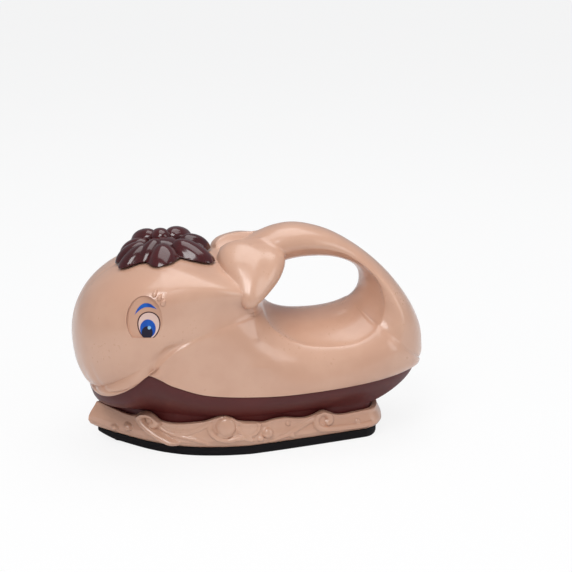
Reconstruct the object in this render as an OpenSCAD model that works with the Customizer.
// Toy iron in the shape of a whale: the tail bends back over the body as the handle.
// Nose towards -X, tail towards +X, the origin on the table under the middle of the toy.

/* [Whale body] */
// Length of the whale from nose to tail bend
body_l = 166; // [158:1:174]
// Width of the whale at its widest
body_w = 76; // [74:1:84]
// Height of the handle's crown above the table
top_z = 100; // [96:1:106]
// Thickness of the moulded shells
wall = 2; // [1.6:0.1:2.4]
// Step by which the brown belly stands back from the pink shells
seam_step = 0.6; // [0.3:0.1:1]
// Gap in the joint between the shells and the belly
seam_gap = 0.2; // [0.1:0.05:0.3]

/* [Finger hole] */
// Length of the finger hole
hole_l = 48.6; // [46:0.2:52]
// Height of the finger hole
hole_h = 26.6; // [25:0.2:28]
// Place of the hole's middle behind the toy's middle
hole_x = 28.7; // [27:0.1:30]
// Height of the hole's middle
hole_z = 70.7; // [69:0.1:72]

/* [Wave base] */
// Length of the base at its widest level
base_l = 139; // [134:1:142]
// Width of the base at its widest level
base_w = 68; // [66:1:72]
// Height of the base's lower edge, which is the top of the soleplate
sole_t = 4.5; // [4:0.1:5.5]
// How far the soleplate lies inside the base's widest outline
sole_inset = 3; // [2:0.1:4]
// Thickness of the base's wall
base_wall = 2; // [1.6:0.1:2.4]
// Height of the wave crests along the base's upper edge
wave_h = 1.6; // [0.6:0.1:2.4]

/* [Spout] */
// Travel of the spout when it is pressed
spout_travel = 0.8; // [0.6:0.1:1.5]
// Diameter of the spout's stem
stem_d = 9; // [8:0.1:10]
// Running clearance round the stem
stem_gap = 0.25; // [0.15:0.05:0.35]
// Outer diameter of the guide collar
collar_d = 16; // [15:0.1:17]

/* [Battery compartment] */
// Diameter of a battery
cell_d = 14.2; // [13.5:0.1:14.5]
// Length of a battery
cell_l = 50; // [48:0.1:51]
// Thickness of the battery box's walls
box_wall = 1.6; // [1.2:0.1:2]
// Thickness of the battery door
door_t = 2; // [1.6:0.1:2.4]

/* [Sound unit] */
// Diameter of the speaker
speaker_d = 29; // [26:0.5:30]
// Height of the speaker from front rim to magnet
speaker_h = 9; // [7:0.1:10]
// Length of the circuit board
board_l = 34; // [28:1:40]
// Width of the circuit board
board_w = 24; // [20:1:30]
// Thickness of the circuit boards
board_t = 1.2; // [1:0.1:1.6]

/* [Hidden] */

pink = "#d9b3a0";
brown = "#5f2f30";
petal_brown = "#531c20";
black = "#241a28";
metal = "#b9bcc2";

// Working values shared by all the pieces
half_l = body_l / 2;
half_w = body_w / 2;
eps = wall / 100;
fine = 40;

// A quarter of a superellipse: 0 at 0, 1 from 1 on
function quarter(t, p = 2) = t <= 0 ? 0 : t >= 1 ? 1 : pow(1 - pow(1 - t, p), 1 / p);
function mix(a, b, t) = a + (b - a) * t;
function ease(t) = t <= 0 ? 0 : t >= 1 ? 1 : t * t * (3 - 2 * t);
function signed_pow(a, p) = sign(a) * pow(abs(a), p);
function unit(a) = norm(a) == 0 ? a : a / norm(a);

// Catmull-Rom point between b and c, for numbers and vectors alike
function spline_at(a, b, c, d, t) =
    b + (c - a) * t / 2 + (2 * a - 5 * b + 4 * c - d) * t * t / 2
    + (3 * b - a - 3 * c + d) * t * t * t / 2;
function ring_spline(rows, steps) = let (n = len(rows))
    [for (i = [0 : n - 1], k = [0 : steps - 1])
        spline_at(rows[(i + n - 1) % n], rows[i], rows[(i + 1) % n], rows[(i + 2) % n],
            k / steps)];

// A skin over rings of points, as a tube closed on itself or with flat ends
module skin(rings, looped = false) {
    n = len(rings[0]);
    m = len(rings);
    last = looped ? m - 1 : m - 2;
    sides = [for (j = [0 : last], i = [0 : n - 1])
        let (a = j * n + i, b = j * n + (i + 1) % n,
            c = ((j + 1) % m) * n + (i + 1) % n, d = ((j + 1) % m) * n + i)
        each [[a, b, c], [a, c, d]]];
    ends = looped ? [] : [[for (i = [n - 1 : -1 : 0]) i], [for (i = [0 : n - 1]) (m - 1) * n + i]];
    polyhedron(points = [for (ring = rings) each ring], faces = concat(sides, ends), convexity = 6);
}

// The whale's side is a field of half-widths over the side view. Each row is a station on
// the way round the finger hole: place on the outline (shares of half the length and of the
// height), angle on the hole, half-width there, length of the rise from the hole and of
// the fall to the outline (shares of half the width), and rise of the way between them
// (share of the height).
station_shares = [
    [ 0.978, 0.325, -38, 0.80, 0.60, 1.00, 0],
    [ 0.990, 0.410, -20, 0.74, 0.52, 0.84, 0],
    [ 0.970, 0.505,   0, 0.68, 0.46, 0.72, 0],
    [ 0.903, 0.622,  18, 0.58, 0.38, 0.56, 0],
    [ 0.788, 0.748,  38, 0.46, 0.29, 0.40, 0],
    [ 0.642, 0.858,  58, 0.375, 0.24, 0.30, 0],
    [ 0.484, 0.943,  75, 0.335, 0.22, 0.26, 0],
    [ 0.350, 0.985,  89, 0.325, 0.21, 0.24, 0],
    [ 0.228, 1.000, 103, 0.32, 0.21, 0.24, 0],
    [ 0.104, 0.982, 118, 0.33, 0.22, 0.24, 0],
    [-0.010, 0.942, 131, 0.33, 0.24, 0.26, 0],
    [-0.110, 0.908, 142, 0.36, 0.27, 0.30, 0],
    [-0.195, 0.886, 151, 0.42, 0.30, 0.38, 0],
    [-0.260, 0.880, 157, 0.50, 0.32, 0.48, 0],
    [-0.320, 0.886, 161, 0.59, 0.33, 0.58, 0],
    [-0.378, 0.894, 164, 0.67, 0.33, 0.64, 0],
    [-0.430, 0.899, 167, 0.75, 0.33, 0.70, 0],
    [-0.484, 0.900, 169, 0.82, 0.33, 0.72, 0],
    [-0.538, 0.897, 171, 0.88, 0.33, 0.74, 0],
    [-0.590, 0.890, 173, 0.93, 0.33, 0.76, 0],
    [-0.690, 0.868, 175, 0.96, 0.33, 0.80, 0],
    [-0.800, 0.826, 178, 0.98, 0.33, 0.84, 0],
    [-0.900, 0.755, 181, 0.98, 0.33, 0.88, 0.01],
    [-0.968, 0.665, 184, 0.98, 0.33, 0.90, 0.02],
    [-0.998, 0.570, 187, 0.98, 0.33, 0.92, 0.035],
    [-0.996, 0.470, 190, 0.98, 0.34, 0.92, 0.055],
    [-0.974, 0.385, 193, 0.98, 0.35, 0.90, 0.075],
    [-0.925, 0.315, 196, 0.98, 0.36, 0.86, 0.095],
    [-0.855, 0.312, 199, 0.98, 0.38, 0.70, 0.105],
    [-0.750, 0.358, 203, 0.98, 0.40, 0.54, 0.095],
    [-0.632, 0.435, 208, 0.98, 0.43, 0.44, 0.060],
    [-0.500, 0.380, 214, 0.98, 0.47, 0.42, 0.035],
    [-0.310, 0.324, 224, 0.98, 0.54, 0.42, 0.010],
    [-0.010, 0.298, 246, 0.98, 0.66, 0.44, 0],
    [ 0.330, 0.296, 270, 0.98, 0.70, 0.44, 0],
    [ 0.640, 0.300, 296, 0.94, 0.66, 0.50, 0],
    [ 0.850, 0.310, 316, 0.87, 0.62, 0.70, 0]];
seam_start = 27;
opening_first = 14;
opening_last = 20;
hole_power = 2.3;
head_power = 2.2;
rise_power = 1.6;
shoulder_share = 1.18;
shoulder_reach_share = 0.55;

// Plan of the joint line between the shells and the belly
seam_front_share = 0.925;
seam_rear_share = 0.978;
seam_front_round_share = 0.92;
seam_rear_round_share = 2.1;
function seam_half(x, inset = 0) = (0.985 * half_w - inset)
    * quarter((x + seam_front_share * half_l - inset) / (seam_front_round_share * half_w), 2.1)
    * quarter((seam_rear_share * half_l - inset - x) / (seam_rear_round_share * half_w), 2);

function hole_point(a) = [
    hole_x + hole_l / 2 * signed_pow(cos(a), 2 / hole_power),
    hole_z + hole_h / 2 * signed_pow(sin(a), 2 / hole_power)];

// Angles go round without a jump where the list closes on itself
function angle_free(rows) = [for (i = [0 : len(rows) - 1]) let (r = rows[i])
    [r[0], r[1], cos(r[2]), sin(r[2]), r[3], r[4], r[5], r[6]]];
stations = angle_free(station_shares);
steps = 2;
samples = ring_spline(stations, steps);
around = len(samples);
seam_first = seam_start * steps;

// Round opening in the head's crown for the guide collar
spout_x_share = 0.484;
spout_x = -spout_x_share * half_l;
crown_gap = 0.9;
opening_r = collar_d / 2 + crown_gap;
function in_seam(i) = i >= seam_first || i == 0;
function in_crown(i) = i >= opening_first * steps && i <= opening_last * steps;
function outline_point(s) = [s[0] * half_l, s[1] * top_z];
function hole_start(i) = let (s = samples[i % around]) hole_point(atan2(s[3], s[2]));
function left_of(a, b) = let (t = unit(b - a)) [-t[1], t[0]];

// Outline and hole drawn in by an inset, which is 0 on the outside and the wall inside
function outline_in(i, inset) = let (o = outline_point(samples[i]))
    in_seam(i) ? [o[0] * (1 - inset / half_l), o[1]]
    : o + inset * left_of(outline_point(samples[i - 1]), outline_point(samples[(i + 1) % around]));
function hole_in(i, inset) =
    hole_start(i) - inset * left_of(hole_start(i + around - 1), hole_start(i + 1));
function edge_half(i, x, inset) = in_seam(i) ? seam_half(x, inset)
    : in_crown(i) && abs(x - spout_x) < opening_r ? sqrt(pow(opening_r, 2) - pow(x - spout_x, 2)) : 0;
function field_point(i, v, inset) = let (s = samples[i],
        h = hole_in(i, inset), o = outline_in(i, inset), reach = norm(o - h),
        place = mix(h, o, v) + [0, s[7] * top_z * sin(180 * v)],
        edge = edge_half(i, o[0], inset),
        full = max(s[4] * half_w - inset, edge),
        near = quarter(v * reach / (s[5] * half_w - inset), rise_power),
        far = quarter(v * reach / min(shoulder_share * half_w, shoulder_reach_share * reach)),
        fall = quarter((1 - v) * reach / (s[6] * half_w - inset), head_power))
    [place[0], -min(full, mix(edge, full, fall)) * (near + far) / 2, place[1]];
out_steps = 10;
shares_out = [for (k = [0 : out_steps]) (1 - cos(180 * k / out_steps)) / 2];
shares_in = [1, 0.9, 0.7, 0.45, 0.2, 0];
function shell_ring(i) = concat([for (v = shares_out) field_point(i, v, 0)],
    [for (v = shares_in) field_point(i, v, wall)]);

module half_shell() {
    skin([for (i = [around - 1 : -1 : 0]) shell_ring(i)], looped = true);
}

// Rows down the fluke lobe: middle (shares of half the length, half the width and the
// height), half-length along the toy and half-thickness (shares of half the width)
fluke_shares = [
    [-0.023, 0.105, 0.902, 0.350, 0.148],
    [-0.020, 0.263, 0.882, 0.407, 0.170],
    [-0.020, 0.447, 0.851, 0.380, 0.170],
    [-0.031, 0.605, 0.802, 0.303, 0.160],
    [-0.056, 0.737, 0.752, 0.195, 0.140],
    [-0.071, 0.800, 0.719, 0.110, 0.110],
    [-0.080, 0.820, 0.698, 0.045, 0.055]];
function fluke_middle(r) = [r[0] * half_l, -r[1] * half_w, r[2] * top_z];
function fluke_ring(rows, k) = let (n = len(rows), r = rows[k], c = fluke_middle(r),
        run = unit(fluke_middle(rows[min(k + 1, n - 1)]) - fluke_middle(rows[max(k - 1, 0)])),
        across = unit(cross(run, [1, 0, 0])))
    [for (a = [342 : -36 : 18]) c + r[3] * half_w * cos(a) * [1, 0, 0] + r[4] * half_w * sin(a) * across];
module fluke() {
    rows = [for (k = [0 : 2 * len(fluke_shares) - 2]) let (i = floor(k / 2), n = len(fluke_shares))
        spline_at(fluke_shares[max(i - 1, 0)], fluke_shares[i], fluke_shares[min(i + 1, n - 1)],
            fluke_shares[min(i + 2, n - 1)], (k % 2) / 2)];
    skin([for (k = [0 : len(rows) - 1]) fluke_ring(rows, k)]);
}

// Eye socket: a shallow moulded arch with a flat ledge below it, and the wall behind it
eye_x_share = -0.640;
eye_z_share = 0.712;
eye_w_share = 0.44;
eye_h_share = 0.20;
eye_floor_share = 0.902;
eye_lean = 14;
module eye_arch(grow, h) {
    eye_w = eye_w_share * half_w / 2 + grow;
    eye_h = eye_h_share * top_z / 2 + grow;
    translate([eye_x_share * half_l, -eye_floor_share * half_w, eye_z_share * top_z])
        rotate([90 - eye_lean, 0, -eye_lean]) linear_extrude(h) intersection() {
            scale([eye_w, eye_h]) circle(1, $fn = fine);
            translate([-eye_w, -0.74 * eye_h]) square(2 * eye_w + eye_h);
        }
}
module eye_pad() {
    hull() translate([wall * sin(eye_lean) * 0.75, wall * 0.75, -wall * sin(eye_lean) * 0.75]) eye_arch(wall / 4, wall * 0.75);
}

// Screw bosses between the two shells: station, share of the way out and depth in the wall
boss_shares = [[26, 0.74, 1.1], [32, 0.58, 0.5], [1, 0.52, 1.2], [8, 0.50, 1.15]];
boss_r = 4.4;
pilot_r = 1.15;
thread_gap = 0.05;
screw_r = pilot_r - thread_gap;
shank_r = 1.5;
head_r = 2.8;
head_t = 1.8;
screw_gap = 0.25;
bosses = [for (b = boss_shares) field_point(b[0] * steps, b[1], b[2] * wall)];
seat_y = 4;
module along_y(at) {
    translate([at[0], 0, at[2]]) rotate([90, 0, 0]) children();
}
module boss(at) {
    rib = boss_r + wall / 2;
    along_y(at) {
        hull() {
            cylinder(r = boss_r * 0.95, h = eps, $fn = 16);
            translate([0, 0, -at[1] - eps]) cylinder(r = boss_r, h = eps, $fn = 16);
        }
        for (turn = [45, 135]) rotate([0, 0, turn]) hull() {
            translate([-rib, -wall / 4, -at[1] * 0.8]) cube([2 * rib, wall / 2, eps]);
            translate([-boss_r, -wall / 4, -at[1] / 2]) cube([2 * boss_r, wall / 2, eps]);
        }
    }
}
module shell_with_bosses() {
    half_shell();
    fluke();
    for (at = bosses) boss(at);
    eye_pad();
}
module left_body_shell() {
    color(pink) difference() {
        shell_with_bosses();
        eye_arch(0, half_w);
        for (at = bosses) along_y(at) translate([0, 0, -eps]) cylinder(r = pilot_r, h = -at[1] * 0.7, $fn = 12);
    }
}
module right_body_shell() {
    color(pink) mirror([0, 1, 0]) difference() {
        shell_with_bosses();
        eye_arch(0, half_w);
        for (at = bosses) along_y(at) {
            translate([0, 0, -eps]) cylinder(r = shank_r + screw_gap, h = body_w, $fn = 12);
            translate([0, 0, seat_y]) cylinder(r = head_r + screw_gap, h = body_w, $fn = 16);
        }
    }
}

// Plan of the wave base: pointed at the nose, widest amidships, cut off at the tail
base_front = -0.934 * half_l;
base_rear = base_front + base_l;
base_nose = 77.522;
base_mid_x = base_front + base_nose;
base_taper_share = 0.285;
base_front_power = 1.4;
function base_half(t, half) = half * quarter(t * 1.95, base_front_power) * quarter((1 - t) * 14, 2.6)
    * (1 - base_taper_share * pow(max(0, t - 0.5) * 2, 1.18));
base_steps = 20;
rim_front_in = 4.5;
rim_rear_in = 2.5;
rim_side_in = 1.2;
front_rise_share = 0.036;
front_rise_from_share = 0.324;
front_rise_over_share = 0.18;
base_top_share = 0.156;
base_slope_share = 0.03;
base_wide_z = 9;
function plan_ring(front_in, rear_in, side_in, z) = let (x0 = base_front + front_in, x1 = base_rear - rear_in)
    both_sides([for (k = [0 : base_steps]) let (t = (1 - cos(180 * k / base_steps)) / 2)
        [mix(x0, x1, t), -base_half(t, base_w / 2 - side_in), z]]);
ripple_share = 0.35;
ripple_l_share = 0.12;
function swell(x, c) = exp(-pow((x - base_mid_x - c[0] * base_l) / (1.1 * c[2] * base_w), 2));
function crest(x) = wave_h * (ripple_share * sin(360 * (x - base_mid_x) / (ripple_l_share * base_l) + 70)
    + swell(x, curl_shares[0]) + swell(x, curl_shares[1]) + swell(x, curl_shares[2]));
function wavy(ring) = [for (p = ring) [p[0], p[1], base_top(p[0]) + crest(p[0])]];

// The belly: its foot stands inside the base and its side swells out to the joint line
seat_gap = 0.45;
belly_foot_z = 12;
belly_floor_z = 20;
function base_top(x) = (base_top_share
        + ease(((base_mid_x - x) / base_l - front_rise_from_share) / front_rise_over_share) * front_rise_share) * top_z
    - base_slope_share * (x - base_mid_x);
function both_sides(side) = concat(side,
    [for (k = [len(side) - 2 : -1 : 1]) [side[k][0], -side[k][1], side[k][2]]]);
seam_path = [for (i = [seam_first : around]) outline_point(samples[i % around])];
seam_x0 = seam_path[0][0];
seam_x1 = seam_path[len(seam_path) - 1][0];
foot_front = base_front + rim_front_in + base_wall + seat_gap;
foot_rear = base_rear - rim_rear_in - base_wall - seat_gap;
foot_half = base_w / 2 - rim_side_in - base_wall - seat_gap;
function belly_point(p, level, inset) = let (
        t = (p[0] - seam_x0) / (seam_x1 - seam_x0),
        foot_x = mix(foot_front + inset, foot_rear - inset, t),
        f = pow(sin(90 * max(0, level)), 1.1),
        rim_x = p[0] * (1 - (seam_step + inset) / half_l),
        foot_z = base_top(foot_x) + (1 + ripple_share) * wave_h)
    [mix(foot_x, rim_x, f),
        -mix(base_half(t, foot_half - inset), seam_half(rim_x, seam_step + inset), f),
        level < 0 ? belly_foot_z : mix(foot_z, p[1] - seam_gap, level)];
function belly_ring(level, inset) = both_sides([for (p = seam_path) belly_point(p, level, inset)]);
function at_height(ring, z) = [for (p = ring) [p[0], p[1], z]];
post_x = 14;
post_y = 9;
board_x = -14;
module floor_post(x, y, r) {
    translate([x, y, belly_floor_z + wall / 2]) hull() {
        cylinder(r = r * 1.2, h = eps, $fn = 12);
        translate([0, 0, wall / 2 + post_h - eps]) cylinder(r = r, h = eps, $fn = 12);
    }
}
post_h = 3;
post_r = 2;
module belly_tub() {
    color(brown) difference() {
        union() {
            skin([
                at_height(belly_ring(0, wall), belly_floor_z + wall),
                belly_ring(0.4, wall), belly_ring(0.75, wall), belly_ring(1, wall), belly_ring(1, 0),
                belly_ring(0.75, 0), belly_ring(0.5, 0), belly_ring(0.25, 0), belly_ring(0, 0),
                belly_ring(-1, 0), belly_ring(-1, wall),
                at_height(belly_ring(0, wall), belly_floor_z)]);
            for (x = [-post_x, post_x], y = [-post_y, post_y]) floor_post(board_x + x, y, post_r);
            for (p = base_screw_places) floor_post(p[0], p[1], boss_r);
        }
        for (p = base_screw_places) translate([p[0], p[1], belly_floor_z - eps])
            cylinder(r = pilot_r, h = post_h + wall / 2, $fn = 12);
        for (p = base_screw_places) translate([p[0], p[1], sole_t])
            cylinder(r = 1.08 * post_r_out + seat_gap, h = belly_floor_z - sole_t, $fn = 16);
        translate([lead_x, 0, belly_floor_z - eps]) cylinder(r = lead_hole_r, h = 2 * wall, $fn = 16);
    }
}

// Screws from below through the soleplate and the base's posts into the belly's floor
// (shares of the base's length and width)
base_screw_shares = [[-0.447, 0], [-0.1, -0.312], [-0.1, 0.312], [0.367, -0.177], [0.367, 0.177]];
base_screw_places = [for (p = base_screw_shares) [base_mid_x + p[0] * base_l, p[1] * base_w]];
post_wall = 1.6;
post_r_out = shank_r + screw_gap + post_wall;
function wall_beside(p) = p[1] == 0 ? [base_front + rim_front_in + base_wall / 2, 0]
    : [p[0], sign(p[1]) * (side_of_base(p[0]) - rim_side_in - base_wall / 2)];
module base_post(p) {
    r = post_r_out;
    h = belly_floor_z - sole_t;
    translate([p[0], p[1], sole_t]) hull() {
        cylinder(r = 1.08 * r, h = eps, $fn = 16);
        translate([0, 0, h - eps]) cylinder(r = r, h = eps, $fn = 16);
    }
    hull() {
        translate([p[0], p[1], sole_t])
            cylinder(r = post_wall / 2, h = belly_foot_z - sole_t - seat_gap, $fn = 8);
        translate([wall_beside(p)[0], wall_beside(p)[1], sole_t])
            cylinder(r = post_wall / 2, h = belly_foot_z - sole_t - seat_gap, $fn = 8);
    }
}

// Profile of the base's side: height (share of its side's height) and how far it lies inside
// the widest outline at the front, the rear and the sides (shares of the base's width)
base_profile_shares = [
    [0, 0.051, 0.044, 0.032],
    [0.14, 0.015, 0.015, 0.012],
    [0.35, 0, 0, 0],
    [0.49, 0.012, 0.009, 0.012],
    [0.66, 0.035, 0.024, 0.020]];
base_side_h = base_top_share * top_z - sole_t;
function profile_ring(r) = plan_ring(r[1] * base_w, r[2] * base_w, r[3] * base_w, sole_t + r[0] * base_side_h);
function inner_ring(z, walls = 1) = let (t = walls * base_wall)
    plan_ring(rim_front_in + t, rim_rear_in + t, rim_side_in + t, z);
function side_of_base(x) = base_half((x - base_front) / base_l, base_w / 2);

// A point on the base's side, and the relief that runs along it
function side_inset(z) = base_w * lookup((z - sole_t) / base_side_h, [for (r = base_profile_shares) [r[0], r[3]]]);
function on_side(x, z, out = 0) = let (t = (x - base_front) / base_l)
    [x, -base_half(t, base_w / 2 - side_inset(z) + out), z];

// Curls of the waves: middle along the toy and height (shares of the base's length and of
// its side's height), size and length of the tail (shares of the base's width)
curl_shares = [[-0.374, 0.98, 0.057, 0.17], [-0.133, 0.86, 0.074, 0.20], [0.204, 0.72, 0.060, 0.20]];
bubble_shares = [[-0.475, 0.63, 0.019], [-0.434, 0.79, 0.021], [-0.018, 0.90, 0.018],
    [0.009, 0.54, 0.038], [-0.015, 0.35, 0.022], [0.080, 0.84, 0.018], [0.092, 0.27, 0.024],
    [0.327, 0.45, 0.020]];
curl_turns = 1.25;
curl_thick_share = 0.25;
curl_sink_share = 0.08;
curl_steps = 8;
tail_steps = 4;
function curl_path(c) = let (x = base_mid_x + c[0] * base_l, z = sole_t + c[1] * base_side_h, size = c[2] * base_w,
        way = sign(c[3]), start = [-way * size * 0.1, -size])
    concat([for (k = [0 : tail_steps - 1]) let (t = 1 - k / tail_steps)
            [x + start[0] + c[3] * base_w * t, z + start[1] - size * 0.25 * sin(180 * t)]],
        [for (k = [0 : curl_steps]) let (t = k / curl_steps, a = 270 - way * 360 * curl_turns * t, r = size * (1 - 0.68 * t))
            [x + r * cos(a), z + r * sin(a)]]);
module curl(c) {
    size = c[2] * base_w;
    path = [for (p = curl_path(c)) on_side(p[0], p[1], curl_sink_share * size)];
    n = len(path);
    skin([for (k = [0 : n - 1]) tube_ring(path, k, size * curl_thick_share * quarter((k + 0.6) / tail_steps, 1.5) * (1 - 0.35 * k / n), 5)]);
}
module base_relief() {
    for (c = curl_shares) curl(c);
    for (c = bubble_shares) translate(on_side(base_mid_x + c[0] * base_l, sole_t + c[1] * base_side_h))
        sphere(c[2] * base_w, $fn = 7);
}
module wave_base() {
    color(pink) difference() {
        union() {
            skin(concat([inner_ring(sole_t, 2), inner_ring(belly_foot_z, 2), inner_ring(belly_foot_z), wavy(inner_ring(0)),
                    wavy(plan_ring(rim_front_in, rim_rear_in, rim_side_in, 0))],
                [for (k = [len(base_profile_shares) - 1 : -1 : 0]) profile_ring(base_profile_shares[k])]),
                looped = true);
            for (side = [0, 1]) mirror([0, side, 0]) base_relief();
            for (p = base_screw_places) base_post(p);
        }
        for (p = base_screw_places) translate([p[0], p[1], 0])
            cylinder(r = shank_r + screw_gap, h = top_z, $fn = 16);
    }
}

// Speaker, face down in the front of the base
speaker_ahead = 40;
speaker_x = base_mid_x - speaker_ahead;
speaker_room = 1;

// Battery box, behind the speaker, standing on the soleplate over its opening
cell_gap = 0.4;
contact_room = 3.5;
box_in_l = cell_l + 2 * contact_room;
box_in_w = 2 * cell_d + 3 * cell_gap;
box_l = box_in_l + 2 * box_wall;
box_w = box_in_w + 2 * box_wall;
door_recess = 0.4;
door_gap = 0.3;
door_lap = 2;
door_l = box_in_l + 2 * door_lap;
door_w = box_in_w + 2 * door_lap;
tab_l = 9;
tab_w = 11;
box_x = speaker_x + speaker_d / 2 + wall + speaker_room + tab_l + door_l / 2;
ledge_z = door_recess + door_t;
cell_z = ledge_z + cell_gap + cell_d / 2;
box_top = cell_z + cell_d / 2 + cell_gap + box_wall;
door_screw_x = box_x - door_l / 2 - tab_l / 2;
lead_exit_r = 1.6;
lead_z = box_top - box_wall - lead_exit_r - cell_gap / 2;
module door_outline(gap, h) {
    translate([box_x, 0, 0]) union() {
        translate([-door_l / 2 + gap, -door_w / 2 + gap, 0])
            cube([door_l - 2 * gap, door_w - 2 * gap, h]);
        translate([-door_l / 2 - tab_l + gap, -tab_w / 2 + gap, 0])
            cube([tab_l + door_lap, tab_w - 2 * gap, h]);
    }
}

// Ring of sound holes under the speaker
speaker_rim = 1.8;
sound_hole_r = 1.1;
sound_ring_r = 8;
module sound_holes() {
    translate([speaker_x, 0, -eps]) {
        cylinder(r = sound_hole_r, h = 2 * sole_t, $fn = 24);
        for (a = [0 : 60 : 300]) rotate(a) translate([sound_ring_r, 0, 0])
            cylinder(r = sound_hole_r, h = 2 * sole_t, $fn = 24);
    }
}
head_depth = 2.4;
screw_boss_h = 5;
module soleplate() {
    color(black) difference() {
        union() {
            linear_extrude(sole_t) polygon([for (p = plan_ring(1.4 * sole_inset, sole_inset, sole_inset, 0)) [p[0], p[1]]]);
            translate([door_screw_x, 0, sole_t - eps]) cylinder(r = boss_r, h = screw_boss_h, $fn = fine);
        }
        translate([0, 0, -eps]) door_outline(0, ledge_z + eps);
        translate([box_x - box_in_l / 2, -box_in_w / 2, 0]) cube([box_in_l, box_in_w, 2 * sole_t]);
        sound_holes();
        translate([door_screw_x, 0, 0]) cylinder(r = pilot_r, h = sole_t + screw_boss_h - wall, $fn = fine);
        for (p = base_screw_places) translate([p[0], p[1], -eps]) {
            cylinder(r = shank_r + screw_gap, h = 2 * sole_t, $fn = fine);
            cylinder(r = head_r + screw_gap, h = head_depth + eps, $fn = fine);
        }
    }
}
module battery_door() {
    color(black) difference() {
        translate([0, 0, door_recess]) door_outline(door_gap, door_t - eps);
        translate([door_screw_x, 0, 0]) cylinder(r = shank_r + screw_gap, h = 2 * ledge_z, $fn = fine);
        translate([door_screw_x, 0, 0]) cylinder(r = head_r + screw_gap, h = door_recess + head_t / 2, $fn = fine);
        for (k = [-2 : 2]) translate([box_x + door_l / 2 - tab_l + k * wall, 0, door_recess])
            cube([wall / 2, tab_w, wall / 3], center = true);
    }
}
module battery_box() {
    color("#3b3b40") difference() {
        translate([box_x - box_l / 2, -box_w / 2, sole_t]) cube([box_l, box_w, box_top - sole_t]);
        translate([box_x - box_in_l / 2, -box_in_w / 2, 0]) cube([box_in_l, box_in_w, box_top - box_wall]);
        translate([box_x - box_l / 2 - eps, 0, lead_z]) rotate([0, 90, 0])
            cylinder(r = lead_exit_r, h = 2 * box_wall, $fn = fine);
    }
}
nub_r = 2.7;
nub_l = 1.4;
module cell(side) {
    turn = side > 0 ? 0 : 180;
    translate([box_x, side * (cell_d + cell_gap) / 2, cell_z]) rotate([0, 0, turn])
        rotate([0, 90, 0]) translate([0, 0, -cell_l / 2]) {
            cylinder(d = cell_d, h = cell_l - nub_l, $fn = fine);
            cylinder(r = nub_r, h = cell_l, $fn = fine);
        }
}
module battery_left() { color("#9a9da3") cell(-1); }
module battery_right() { color("#9a9da3") cell(1); }

// Conical springs at the cells' flat ends, plates at their nubs
wire_r = 0.35;
plate_t = 0.5;
plate_w = 9;
function coil_path(turns, r0, r1, h, per) = [for (k = [0 : turns * per])
    let (t = k / (turns * per), a = 360 * k / per) [mix(r0, r1, t) * cos(a), mix(r0, r1, t) * sin(a), h * t]];
function tube_ring(path, k, r, sides) = let (n = len(path), c = path[k],
        run = unit(path[min(k + 1, n - 1)] - path[max(k - 1, 0)]),
        side = unit(abs(run[2]) > 0.95 ? cross(run, [1, 0, 0]) : cross(run, [0, 0, 1])),
        up = cross(side, run))
    [for (a = [0 : sides - 1]) c + r * (cos(360 * a / sides) * side + sin(360 * a / sides) * up)];
module tube(path, r, sides = 6) {
    skin([for (k = [0 : len(path) - 1]) tube_ring(path, k, r, sides)]);
}
module at_contact(side, end) {
    translate([box_x, side * (cell_d + cell_gap) / 2, cell_z]) rotate([0, 0, side > 0 ? 0 : 180])
        translate([end * box_in_l / 2, 0, 0]) rotate([0, -90 * end, 0]) children();
}
module contact_springs() {
    color(metal) for (side = [-1, 1]) at_contact(side, -1)
        translate([0, 0, plate_t + wire_r])
            tube(coil_path(3, 0.38 * cell_d, 0.2 * cell_d, contact_room - plate_t - 2 * wire_r, 8), wire_r, 5);
}
module contact_plates() {
    color(metal) for (side = [-1, 1], end = [-1, 1]) at_contact(side, end)
        translate([-plate_w / 2, -plate_w / 2, 0]) union() {
            cube([plate_w, plate_w, plate_t]);
            if (end > 0) translate([plate_w / 2, plate_w / 2, 0])
                cylinder(r1 = nub_r, r2 = nub_r * 0.7, h = contact_room - eps, $fn = fine);
        }
}

// Screws
module screw(r, length, head, head_h) {
    cylinder(r = r, h = length, $fn = fine);
    translate([0, 0, -head_h]) difference() {
        cylinder(r1 = head * 0.85, r2 = head, h = head_h, $fn = fine);
        for (turn = [0, 90]) rotate(turn) translate([-head * 0.6, -head * 0.11, -eps])
            cube([head * 1.2, head * 0.22, head_h / 2]);
    }
}
screw_bite = 6;
module base_screws() {
    color(metal) for (p = base_screw_places) translate([p[0], p[1], head_depth])
        screw(screw_r, belly_floor_z + post_h - head_depth, head_r, head_t);
}
module door_screw() {
    color(metal) translate([door_screw_x, 0, door_recess + head_t / 2])
        screw(screw_r, sole_t, head_r, head_t / 2);
}
module shell_screws() {
    color(metal) for (at = bosses) translate([at[0], seat_y, at[2]]) rotate([90, 0, 0])
        screw(screw_r, seat_y + min(screw_bite, -at[1] * 0.65), head_r, head_t);
}

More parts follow.
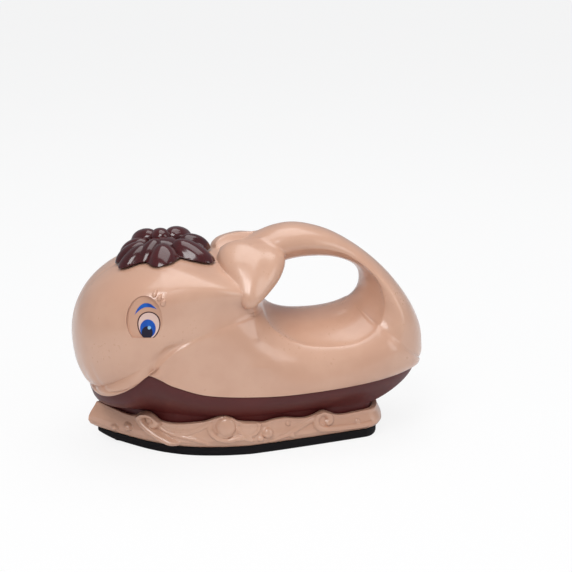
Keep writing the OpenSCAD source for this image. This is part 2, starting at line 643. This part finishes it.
// Speaker and its clamp
module revolved(points, at) {
    translate(at) rotate_extrude($fn = 64) polygon(points);
}
speaker_at = [speaker_x, 0, sole_t];
cone_t = 0.5;
magnet_r = speaker_d * 0.3;
basket_h = speaker_h * 0.55;
module speaker_frame() {
    r = speaker_d / 2;
    color("#6d6f75") revolved([[r, 0], [r, speaker_rim], [r * 0.92, speaker_rim], [magnet_r * 1.1, basket_h],
        [magnet_r * 0.5, basket_h], [magnet_r * 0.5, basket_h - cone_t], [magnet_r * 1.05, basket_h - cone_t],
        [r * 0.88, speaker_rim - cone_t], [r * 0.88, 0]], speaker_at);
}
module speaker_cone() {
    r = speaker_d / 2 * 0.88 - cone_t;
    color("#c9c4b8") revolved([[0, speaker_rim], [r * 0.35, speaker_rim], [r * 0.4, speaker_rim * 1.3],
        [r * 0.85, cone_t], [r, cone_t], [r, 0], [r * 0.8, 0], [r * 0.38, speaker_rim * 0.9],
        [r * 0.33, speaker_rim * 0.6], [0, speaker_rim * 0.6]], speaker_at);
}
module speaker_magnet() {
    color("#4a4c52") revolved([[0, basket_h], [magnet_r, basket_h], [magnet_r, speaker_h],
        [magnet_r * 0.9, speaker_h], [0, speaker_h]], speaker_at);
}
clamp_gap = 0.2;
ear_r = 2.3;
module speaker_clamp() {
    r = speaker_d / 2;
    color("#3b3b40") translate(speaker_at) difference() {
        union() {
            cylinder(r = r + wall, h = speaker_rim + clamp_gap + wall / 2, $fn = 64);
            for (side = [-1, 1]) translate([0, side * (r + wall), 0]) cylinder(r = ear_r, h = wall, $fn = fine);
        }
        translate([0, 0, -eps]) cylinder(r = r + clamp_gap, h = speaker_rim + clamp_gap, $fn = 64);
        translate([0, 0, -eps]) cylinder(r = r * 0.93, h = speaker_h, $fn = 64);
        for (side = [-1, 1]) translate([0, side * (r + wall + ear_r / 3), -eps])
            cylinder(r = pilot_r, h = speaker_h, $fn = fine);
    }
}

// Sound board on four posts of the belly's floor
board_z = belly_floor_z + wall + post_h;
module sound_board() {
    color("#3f7a4c") translate([board_x - board_l / 2, -board_w / 2, board_z]) cube([board_l, board_w, board_t]);
}
chip_r = 5;
chip_h = 1.6;
module sound_chip() {
    color("#1c1c20") revolved([[0, 0], [chip_r, 0], [chip_r * 0.95, chip_h * 0.4], [chip_r * 0.75, chip_h * 0.8],
        [chip_r * 0.4, chip_h], [0, chip_h]], [board_x, 0, board_z + board_t]);
}

// Spout: petals on a stem that slides in a collar under the head's crown
spout_at = [spout_x, 0, 0];
collar_top = 0.898 * top_z;
flange_t = 1.4;
flange_out = 2.6;
flange_r = collar_d / 2 + flange_out;
flange_gap = 0.1;
flange_top = min([for (i = [(opening_first - 1) * steps : (opening_last + 1) * steps], k = [0 : 24])
    let (p = field_point(i, 1 - k / 60, wall)) if (norm([p[0] - spout_x, p[1]]) < flange_r + wall) p[2]]) - flange_gap;
collar_wall = 1.4;
pocket_r = collar_d / 2 - collar_wall;
pocket_h = 5;
guide_h = 6;
guide_low = collar_top - pocket_h - guide_h;
stop_t = 1.2;
stop_r = stem_d / 2 + stop_t;
stop_gap = 0.15;
plunger_r = 1.75;
switch_w = 6;
switch_h = 3.5;
plunger_h = 1.2;
stem_low = guide_low - stop_gap - stop_t;
plunger_top = stem_low;
switch_top = plunger_top - plunger_h - spout_travel;
chamber_low = switch_top - switch_h - board_t;
module spout_collar() {
    r = collar_d / 2;
    color("#3b3b40") revolved([[stem_d / 2 + stem_gap, guide_low], [stem_d / 2 + stem_gap, guide_low + guide_h],
        [pocket_r, guide_low + guide_h], [pocket_r, collar_top], [r, collar_top],
        [r, flange_top], [flange_r, flange_top],
        [flange_r, flange_top - flange_t], [r, flange_top - flange_t],
        [r, chamber_low - wall], [pocket_r - wall / 2, chamber_low - wall], [pocket_r - wall / 2, chamber_low],
        [pocket_r, chamber_low], [pocket_r, guide_low]], spout_at);
}
cap_gap = 0.3;
cap_low = collar_top + spout_travel + cap_gap;
cap_t = 1.6;
module spout_stem() {
    r = stem_d / 2;
    color(petal_brown) revolved([[0, stem_low], [stop_r, stem_low], [stop_r, stem_low + stop_t], [r, stem_low + stop_t],
        [r, cap_low], [pocket_r, cap_low], [pocket_r, cap_low + cap_t], [r * 0.6, cap_low + cap_t],
        [r * 0.6, cap_low + 2 * cap_t], [0, cap_low + 2 * cap_t]], spout_at);
}
spring_wire_r = 0.5;
spring_r = (pocket_r + stem_d / 2) / 2;
module spout_spring() {
    low = guide_low + guide_h + spring_wire_r;
    color(metal) translate([spout_x, 0, low])
        tube(coil_path(3.5, spring_r, spring_r, cap_low - low - spring_wire_r, 8), spring_wire_r, 6);
}
module switch_plunger() {
    color("#e8e4da") revolved([[0, switch_top], [plunger_r, switch_top], [plunger_r, plunger_top],
        [0, plunger_top]], spout_at);
}
plunger_gap = 0.2;
module switch_body() {
    color("#26262b") difference() {
        translate([spout_x - switch_w / 2, -switch_w / 2, switch_top - switch_h]) cube([switch_w, switch_w, switch_h]);
        translate([spout_x, 0, switch_top - spout_travel - plunger_gap]) cylinder(r = plunger_r + plunger_gap,
            h = 2 * switch_h, $fn = fine);
    }
}
switch_board_gap = 0.2;
module switch_board() {
    r = pocket_r - switch_board_gap;
    color("#3f7a4c") revolved([[0, chamber_low], [r, chamber_low], [r, chamber_low + board_t],
        [0, chamber_low + board_t]], spout_at);
}

// Petals of the spout: direction in plan, tilt below the level, length, width, start
// from the middle and height of the start (shares of half the width)
petal_shares = [
    [262, 46, 0.57, 0.43, 0.15, 0.12],
    [212, 40, 0.49, 0.36, 0.20, 0.10],
    [168, 34, 0.42, 0.34, 0.20, 0.10],
    [122, 26, 0.42, 0.34, 0.16, 0.14],
    [ 62, 26, 0.44, 0.36, 0.16, 0.14],
    [ 18, 28, 0.44, 0.32, 0.22, 0.12],
    [326, 38, 0.68, 0.45, 0.14, 0.12],
    [236, 46, 0.36, 0.28, 0.05, 0.20],
    [ 95, 10, 0.30, 0.26, 0.00, 0.16]];
function petal_ring(t, length, width) = let (r = width / 2 * quarter(t * 1.7, 1.7) * quarter((1 - t) * 2.6, 2.2))
    [for (a = [17 : 36 : 341]) [length * t, r * cos(a), (sin(a) > 0.9 ? 1 : 0.85) * r * sin(a)]];
module petal(length, width) {
    hull() skin([for (t = [0.02, 0.14, 0.34, 0.56, 0.76, 0.90, 0.97, 0.998]) petal_ring(t, length, width)]);
}
dome_gap = 0.46;
collar_cut_rise = 0.7;
module crown_clearance() {
    lift = spout_travel + dome_gap;
    for (side = [0, 1]) mirror([0, side, 0]) translate([0, 0, lift]) crown_block();
}
function crown_edge(i) = [for (v = [1, 0.97, 0.9, 0.8, 0.7, 0.6, 0.45, 0.3]) field_point(i, v, 0)];
crown_rows = [for (i = [(opening_first - 4) * steps : steps : (opening_last + 3) * steps]) crown_edge(i)];
module crown_block() {
    cols = len(crown_rows[0]);
    skin([for (row = crown_rows) let (low = [for (k = [cols - 1 : -1 : 0]) [row[k][0], 0, row[cols - 1][2]]])
        concat([[row[0][0], 0, row[0][2]]], row, [[row[cols - 1][0], 0, row[cols - 1][2]]])]);
}
module spout_petals() {
    color(petal_brown) difference() {
        union() {
            translate([spout_x, 0, cap_low + cap_t]) cylinder(r = pocket_r, h = 0.1 * half_w, $fn = 24);
            translate([spout_x, 0, collar_top]) for (p = petal_shares)
                rotate([0, 0, p[0]]) translate([p[4] * half_w, 0, p[5] * half_w]) rotate([0, p[1], 0])
                    petal(p[2] * half_w, p[3] * half_w);
        }
        translate([spout_x, 0, cap_low + cap_t - top_z]) cylinder(r = pocket_r + stem_gap, h = top_z, $fn = 24);
        crown_clearance();
        translate([spout_x, 0, collar_top + spout_travel + dome_gap + collar_cut_rise - top_z])
            cylinder(r = collar_d / 2 + crown_gap / 2, h = top_z, $fn = 22);
        translate([spout_x, 0, cap_low]) cylinder(r = stem_d * 0.3 + plunger_gap, h = 2 * cap_t + plunger_gap, $fn = 24);
    }
}

// Leads: up from the battery box and the speaker through the floor, and on to the switch
lead_r = 0.6;
lead_behind = 7;
lead_x = speaker_x + lead_behind;
lead_hole_r = 3.4;
lead_step = 1.5;
function smooth_path(points, per) = let (n = len(points)) concat(
    [for (i = [0 : n - 2], k = [0 : per - 1]) spline_at(points[max(i - 1, 0)], points[i], points[i + 1],
        points[min(i + 2, n - 1)], k / per)], [points[n - 1]]);
module lead_pair(points) {
    for (side = [-1, 1]) tube(smooth_path([for (p = points) [p[0], p[1] + side * lead_step / 2, p[2]]], 3), lead_r, 5);
}
lead_y = 1.6;
solder_z = board_z + board_t + 1.1 * lead_r;
solder_x = board_x - board_l / 2 + 1.5 * lead_r;
// Turning points of the leads, as shares of the height
battery_lead_shares = [[-0.191, -0.008, 0.15], [-0.25, -0.016, 0.16], [-0.32, -0.016, 0.18], [-0.33, -0.016, 0.24]];
speaker_lead_shares = [[-0.285, 0.032, 0.14], [-0.33, 0.016, 0.18], [-0.33, 0.016, 0.24]];
switch_lead_shares = [[-0.362, -0.02, 0.55], [-0.392, -0.05, 0.42], [-0.372, -0.08, 0.32]];
switch_lead_y = -0.08 * top_z;
speaker_tag_y = 0.04 * top_z;
switch_tag_y = 0.02 * top_z;
switch_drop = 0.08 * top_z;
function turns(shares) = [for (p = shares) top_z * p];
module battery_leads() {
    color("#b03030") lead_pair(concat([[box_x - box_l / 2 + 0.4 * contact_room, 0, lead_z]], turns(battery_lead_shares),
        [[lead_x + lead_r, -lead_y, solder_z], [solder_x, -lead_y, solder_z]]));
}
module speaker_leads() {
    color("#30303a") lead_pair(concat([[speaker_x + magnet_r, speaker_tag_y, sole_t + basket_h + lead_r]],
        turns(speaker_lead_shares), [[lead_x + lead_r, lead_y, solder_z], [solder_x, lead_y, solder_z]]));
}
module switch_leads() {
    color("#d8c040") lead_pair(concat([[spout_x, switch_tag_y, chamber_low], [spout_x, switch_tag_y, chamber_low - switch_drop]],
        turns(switch_lead_shares), [[solder_x - lead_r, switch_lead_y, solder_z + 0.7 * lead_r],
        [solder_x, switch_lead_y, solder_z]]));
}

left_body_shell();
right_body_shell();
belly_tub();
wave_base();
soleplate();
spout_petals();
spout_stem();
spout_collar();
spout_spring();
switch_plunger();
switch_body();
switch_board();
sound_board();
sound_chip();
speaker_frame();
speaker_cone();
speaker_magnet();
speaker_clamp();
battery_box();
battery_left();
battery_right();
contact_springs();
contact_plates();
battery_door();
door_screw();
shell_screws();
base_screws();
switch_leads();
speaker_leads();
battery_leads();
